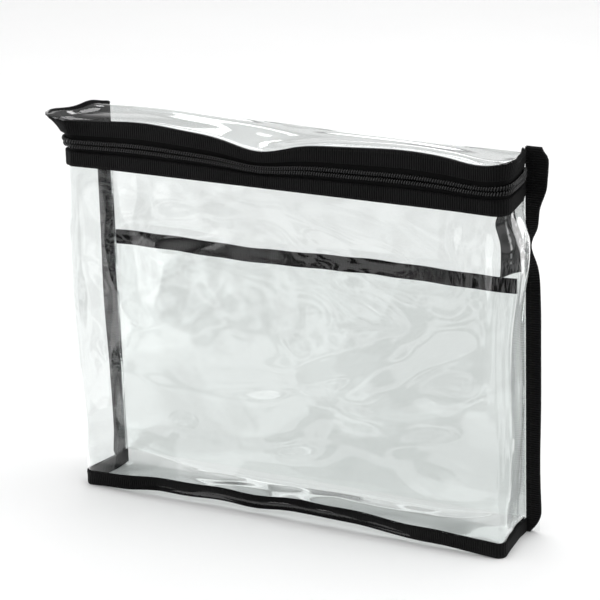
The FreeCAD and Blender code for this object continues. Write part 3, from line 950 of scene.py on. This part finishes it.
class POUCH_OT_ribbons(bpy.types.Operator):
    """Make the folded ribbons round the lid, the top edge, the bottom and the upright seams"""

    bl_idname = "pouch.ribbons"
    bl_label = "Ribbons"

    def execute(self, context):
        ribbon = finish_of("Grosgrain ribbon")
        for band, edge, tip, end, body in (
            ("lower_band", LOWER_HIGH.z, LOWER_LOW.z, LOWER_HIGH.y, "bag"),
            ("upper_band", UPPER_LOW.z, UPPER_HIGH.z, UPPER_HIGH.y, "lid"),
        ):
            section = folded_ring(edge, tip, RIBBON, -SHEET - RIBBON, RIBBON, (-SHEET, 0.0))
            stop = end_run(end) - 0.2
            piece = joined_mesh(band + "_ribbon", [swept(band_rings(section, -stop, stop))])
            finish_piece(piece, ribbon, [band + "_binding"], body)
        foot = folded_ring(BODY_LOW.z, BODY_LOW.z + BINDING, RIBBON, -2 * SHEET - RIBBON, RIBBON, (-2 * SHEET, 0.0))
        stop = SEAM_RUN - 0.8
        parts = [swept(band_rings(foot, -stop, stop, ruffle=0.08))]
        deep = BODY_HIGH.y - SEAM_Y
        upright = folded_ring(BINDING, 0.0, deep, -RIBBON, RIBBON, (0.0, deep - RIBBON))
        for side, foot_high in ((-1, 7), (1, 13)):
            rings = []
            for z in steps(0.0, BODY_HIGH.z, 2.2):
                narrow = 0.72 * max(0.0, 1 - z / foot_high) ** 2
                narrow += 0.34 * (1 - smooth((BODY_HIGH.z - z) / 9)) ** 2
                rings.append([seam_turn(side, z, wide * (1 - narrow), depth) for wide, depth in upright])
            parts.append(swept(rings))
        piece = joined_mesh("body_binding_ribbon", parts)
        finish_piece(piece, ribbon, ["body_binding"], "bag")
        return {"FINISHED"}


def strip_ring(z0, z1, out0, out1):
    levels = steps(z0, z1, 1.6)
    return [(z, out1) for z in levels] + [(z, out0) for z in reversed(levels)]


class POUCH_OT_zip_tapes(bpy.types.Operator):
    """Make the two woven zip tapes"""

    bl_idname = "pouch.zip_tapes"
    bl_label = "Zip tapes"

    def execute(self, context):
        tape = finish_of("Woven zip tape")
        outer = -SHEET - RIBBON
        zone = -(SEAM_RUN - SLIDER_ZONE)
        low, high = LOWER_TAPE_LOW.z, UPPER_TAPE_HIGH.z
        for node, end, whole, cut, body in (
            ("lower_zip_tape", LOWER_TAPE_HIGH.y, (low, CHAIN_Z - 0.02), (low, CHAIN_Z - 1.6), "bag"),
            ("upper_zip_tape", UPPER_TAPE_HIGH.y, (CHAIN_Z + 0.02, high), (UPPER_LOW.z + 1.4, high), "lid"),
        ):
            stop = end_run(end) - 0.3
            whole, cut = (strip_ring(*heights, outer - TAPE, outer) for heights in (whole, cut))
            parts = [swept(band_rings(cut, -stop, zone)), swept(band_rings(whole, zone, stop))]
            finish_piece(joined_mesh(node + "_cloth", parts), tape, [node], body)
        return {"FINISHED"}


def with_core(coil, line, material):
    """Adds the filler cord that runs inside the coil's turns."""
    rings = []
    angles = [math.radians(45 * k) for k in range(8)]
    for place, way in line[::3]:
        out, up = Vector(way), Vector((0, 0, 1))
        rings.append([place + CORE_HALF * (math.cos(angle) * out + math.sin(angle) * up) for angle in angles])
    core = joined_mesh("core", [swept(rings)])
    turns = len(coil.data.polygons)
    work = bmesh.new()
    work.from_mesh(coil.data)
    work.from_mesh(core.data)
    work.to_mesh(coil.data)
    work.free()
    bpy.data.objects.remove(core)
    coil.data.materials.append(material)
    for polygon in coil.data.polygons[turns:]:
        polygon.material_index = 1


class POUCH_OT_zip_coils(bpy.types.Operator):
    """Make both nylon coils, turn by turn"""

    bl_idname = "pouch.zip_coils"
    bl_label = "Zip coils"

    def execute(self, context):
        pitch = context.scene.pouch_cloth.turn_pitch
        tree = along_path_tree("Coil turns", ["Half Thickness", "Half Width", "Wire Radius", "Slant"], coil_turn)
        coil, core = finish_of("Nylon coil"), finish_of("Filler cord")
        tall = COIL_HIGH.z - COIL_LOW.z + COIL_MESH_IN
        middle = (1.5 - SHEET - RIBBON) / 2
        values = {"Spacing": pitch, "Wire Radius": COIL_WIRE * MM, "Slant": COIL_SLANT}
        values["Half Thickness"] = (COIL_HALF - COIL_WIRE) * MM
        values["Half Width"] = (tall / 2 - COIL_WIRE) * MM
        stop = end_run(COIL_HIGH.y) - COIL_STOP
        upper_stop = end_run(UPPER_COIL_HIGH.y) - COIL_STOP
        turns_away = math.floor((upper_stop - 1 + SEAM_RUN - SLIDER_ZONE) / (pitch / MM)) + 0.5
        upper_start = upper_stop - turns_away * pitch / MM
        low = (COIL_LOW.z + COIL_HIGH.z + COIL_MESH_IN) / 2
        high = (UPPER_COIL_LOW.z + UPPER_COIL_HIGH.z - COIL_MESH_IN) / 2
        chains = (("lower", -stop, stop, low, "bag"), ("upper", upper_start, upper_stop, high, "lid"))
        for side, start, end, z, body in chains:
            line = wall_line(start, end, z, middle, 0.75)
            piece = repeated(side + "_coil_turns", [line], tree, values, coil)
            finish_piece(piece, coil, [side + "_coil", side + "_coil_cord"], body)
            with_core(piece, line, core)
        return {"FINISHED"}


class POUCH_OT_stitches(bpy.types.Operator):
    """Make the stitch rows of every ribbon"""

    bl_idname = "pouch.stitches"
    bl_label = "Stitches"

    def execute(self, context):
        cloth = context.scene.pouch_cloth
        tree = along_path_tree("Stitch row", ["Thickness", "Half Length"], stitch_shape)
        thread = finish_of("Sewing thread")
        values = {"Spacing": cloth.stitch_pitch, "Thickness": 0.00022, "Half Length": cloth.stitch_length / 2}
        proud = RIBBON + 0.06
        lower_stop, upper_stop = (end_run(y) - STITCH_STOP for y in (LOWER_HIGH.y, UPPER_HIGH.y))
        bottom_stop = SEAM_RUN - 4
        body = [wall_line(-bottom_stop, bottom_stop, BODY_LOW.z + BINDING - STITCH_IN, proud)]
        for side in (-1, 1):
            for deep, way in ((-RIBBON - 0.05, (0, -1, 0)), (BODY_HIGH.y - SEAM_Y + 0.05, (0, 1, 0))):
                body.append([(seam_turn(side, z, 3.2, deep), way) for z in steps(3, BODY_HIGH.z - 4, 2.0)])
        pocket_stop = POCKET_HALF - STITCH_STOP
        pocket = []
        for run in steps(-pocket_stop, pocket_stop, 2.0):
            pocket.append((pocket_wall(run, POCKET_RIBBON_LOW.z + STITCH_IN) + Vector((0, -0.85, 0)), (0, -1, 0)))
        rows = (
            ("lower_band", [wall_line(-lower_stop, lower_stop, LOWER_LOW.z + STITCH_IN, proud)], "bag"),
            ("upper_band", [wall_line(-upper_stop, upper_stop, UPPER_HIGH.z - STITCH_IN, proud)], "lid"),
            ("body", body, "bag"),
            ("pocket", [pocket], "bag"),
        )
        for part, lines, rides in rows:
            piece = repeated(part + "_stitches", lines, tree, values, thread)
            finish_piece(piece, thread, [part + "_thread"], rides)
        return {"FINISHED"}


class POUCH_OT_label(bpy.types.Operator):
    """Make the satin tab that hangs inside the right gusset"""

    bl_idname = "pouch.label"
    bl_label = "Label tab"

    def execute(self, context):
        wide = LABEL_HIGH.y - LABEL_LOW.y
        seam_at = end_run((LABEL_LOW.y + LABEL_HIGH.y) / 2)
        tall = LABEL_HIGH.z - LABEL_LOW.z
        rows = []
        for z in steps(LABEL_LOW.z, LABEL_HIGH.z, 1.6):
            drop = (LABEL_HIGH.z - z) / tall
            swing = math.radians(10 + 46 * smooth(drop * 2.2))
            rear = wall(seam_at + wide / 2, min(z, LOWER_LOW.z - 1), -2.0)
            row = []
            for share in steps(0, 1, 0.12):
                curl = 1.1 * math.sin(math.pi * share) * drop
                x = rear.x - (1 - share) * wide * math.sin(swing) - curl
                y = rear.y - (1 - share) * wide * math.cos(swing) + curl
                row.append(Vector((x, y, z + 3.5 * share * drop)))
            rows.append(row)
        piece = grid_mesh("label_satin", rows)
        thick = piece.modifiers.new("Cloth", "SOLIDIFY")
        thick.thickness, thick.offset = 0.0003, 0
        finish_piece(piece, finish_of("Label satin"), ["label_tab"], "bag")
        return {"FINISHED"}


class POUCH_OT_slider(bpy.types.Operator):
    """Give the slider and its puller their enamel"""

    bl_idname = "pouch.slider"
    bl_label = "Slider and puller"

    def execute(self, context):
        enamel = finish_of("Black enamel")
        for name in ("slider_body", "puller"):
            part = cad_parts[name]
            if not part.material_slots:
                part.data.materials.append(enamel)
            for place in part.material_slots:
                place.material = enamel
        return {"FINISHED"}


def softbox(name, place, aim, size, power):
    light = bpy.data.lights.new(name, "AREA")
    light.shape, light.size, light.size_y, light.energy = "RECTANGLE", size[0], size[1], power
    lamp = show(name, light)
    lamp.location = place
    lamp.rotation_euler = (Vector(aim) - Vector(place)).to_track_quat("-Z", "Y").to_euler()


class POUCH_OT_studio(bpy.types.Operator):
    """Make the camera, the pale floor and the soft light"""

    bl_idname = "pouch.studio"
    bl_label = "Studio"

    def execute(self, context):
        studio = context.scene.pouch_studio
        turn, down, roll = studio.camera_turn, studio.camera_down, studio.camera_roll
        ahead = Vector((-math.sin(turn) * math.cos(down), math.cos(turn) * math.cos(down), -math.sin(down)))
        right = Vector((math.cos(turn), math.sin(turn), 0))
        up = right.cross(ahead)
        x_axis = math.cos(roll) * right + math.sin(roll) * up
        y_axis = -math.sin(roll) * right + math.cos(roll) * up
        lens = bpy.data.cameras.new("Camera")
        lens.lens, lens.sensor_width, lens.clip_start, lens.clip_end = studio.lens, 36.0, 0.05, 50.0
        camera = show("Camera", lens)
        placed = Matrix((x_axis, y_axis, -ahead)).transposed().to_4x4()
        placed.translation = Vector(studio.camera_place)
        camera.matrix_world = placed
        context.scene.camera = camera

        half = studio.floor_half / MM
        corners = [Vector((x * half, y * half, -0.05)) for x, y in ((-1, -1), (1, -1), (1, 1), (-1, 1))]
        ground = add_mesh("floor", corners, [[0, 1, 2, 3]])
        n = new_finish("Pale floor")
        place = n.place()
        tone = n.greys(n.noise(place, 6.0, 2.0), (0.2, 0.93), (0.8, 0.95))
        matt = {"Base Color": tone, "Roughness": 0.9, "Specular IOR Level": 0.1}
        paper = n.add("ShaderNodeBsdfPrincipled", matt).outputs[0]
        # Painted reflection: glossy rays see a faint emission in place of the floor, with a bright painted panel on the
        # left and loose bright patches that no lamp or object makes
        where = n.add("ShaderNodeSeparateXYZ", {"Vector": place}).outputs
        slant = n.maths("ADD", where["X"], n.maths("MULTIPLY", where["Y"], -0.538))
        painted_board_reflection = n.greys(n.maths("ADD", slant, 0.5), (0.372, 1.25), (0.392, 0.0))
        painted_reflection_patches = n.greys(n.noise(place, 7.0, 1.0), (0.43, 0.0), (0.44, 0.9), (0.56, 0.7), (0.57, 0.0))
        painted_reflection_glow = n.add("ShaderNodeEmission", {"Color": n.maths("ADD", painted_board_reflection, painted_reflection_patches), "Strength": 1.0}).outputs[0]
        n.close(n.mixed(n.add("ShaderNodeLightPath").outputs["Is Glossy Ray"], paper, painted_reflection_glow))
        ground.data.materials.append(finish_of("Pale floor"))

        for name, place, size, power in (
            ("Overhead", (0.1, 0.5, 2.1), (2.6, 1.6), studio.key_power),
            ("Left", (-1.9, -0.7, 1.1), (0.7, 1.6), studio.side_power),
            ("Right", (1.9, 0.4, 1.0), (0.6, 1.5), studio.side_power),
            ("Front", (-0.6, -2.3, 1.9), (2.2, 1.2), studio.front_power),
            ("Back", (-1.0, 2.3, 1.5), (0.9, 0.4), studio.side_power * 0.4),
        ):
            softbox(name + " softbox", place, (0, 0, 0.1), size, power)

        world = context.scene.world = bpy.data.worlds.new("Studio")
        n = Nodes(world, "ShaderNodeOutputWorld")
        seen = n.add("ShaderNodeBackground", {"Color": (1, 1, 1, 1), "Strength": 1.1}).outputs[0]
        way = n.add("ShaderNodeTexCoord").outputs["Generated"]
        height = n.add("ShaderNodeSeparateXYZ", {"Vector": way}).outputs["Z"]
        levels = ((0.0, 0.5), (0.5, 0.12), (0.53, 1.3), (0.60, 1.15), (0.64, 0.4), (1.0, 0.9))
        tone = n.greys(n.maths("MULTIPLY_ADD", height, 0.5, 0.5), *levels)
        around = n.add("ShaderNodeBackground", {"Color": tone, "Strength": 0.56}).outputs[0]
        n.close(n.mixed(n.add("ShaderNodeLightPath").outputs["Is Camera Ray"], around, seen))
        context.scene.view_settings.view_transform = "Standard"
        return {"FINISHED"}


OPERATORS = (
    POUCH_OT_studio,
    POUCH_OT_finishes,
    POUCH_OT_ribbons,
    POUCH_OT_front_wrap,
    POUCH_OT_back_and_lid,
    POUCH_OT_pocket,
    POUCH_OT_zip_tapes,
    POUCH_OT_zip_coils,
    POUCH_OT_stitches,
    POUCH_OT_label,
    POUCH_OT_slider,
)


class POUCH_PT_panel(bpy.types.Panel):
    """Every piece of the pouch"""

    bl_idname = "POUCH_PT_panel"
    bl_label = "Clear Zip Pouch"
    bl_space_type = "VIEW_3D"
    bl_region_type = "UI"
    bl_category = "Zip Pouch"

    def draw(self, context):
        for settings in (context.scene.pouch_cloth, context.scene.pouch_colours, context.scene.pouch_studio):
            column = self.layout.column(align=True)
            for name in settings.__annotations__:
                column.prop(settings, name)
        column = self.layout.column(align=True)
        for operator in OPERATORS:
            column.operator(operator.bl_idname)


SETTINGS = (ZipPouchCloth, ZipPouchColours, ZipPouchStudio)


def register():
    for cls in (*SETTINGS, *OPERATORS, POUCH_PT_panel):
        bpy.utils.register_class(cls)
    bpy.types.Scene.pouch_cloth = bpy.props.PointerProperty(type=ZipPouchCloth)
    bpy.types.Scene.pouch_colours = bpy.props.PointerProperty(type=ZipPouchColours)
    bpy.types.Scene.pouch_studio = bpy.props.PointerProperty(type=ZipPouchStudio)


def unregister():
    del bpy.types.Scene.pouch_cloth
    del bpy.types.Scene.pouch_colours
    del bpy.types.Scene.pouch_studio
    for cls in reversed((*SETTINGS, *OPERATORS, POUCH_PT_panel)):
        bpy.utils.unregister_class(cls)


def main():
    register()
    for operator in OPERATORS:
        group, name = operator.bl_idname.split(".")
        getattr(getattr(bpy.ops, group), name)()


if __name__ == "__main__":
    main()
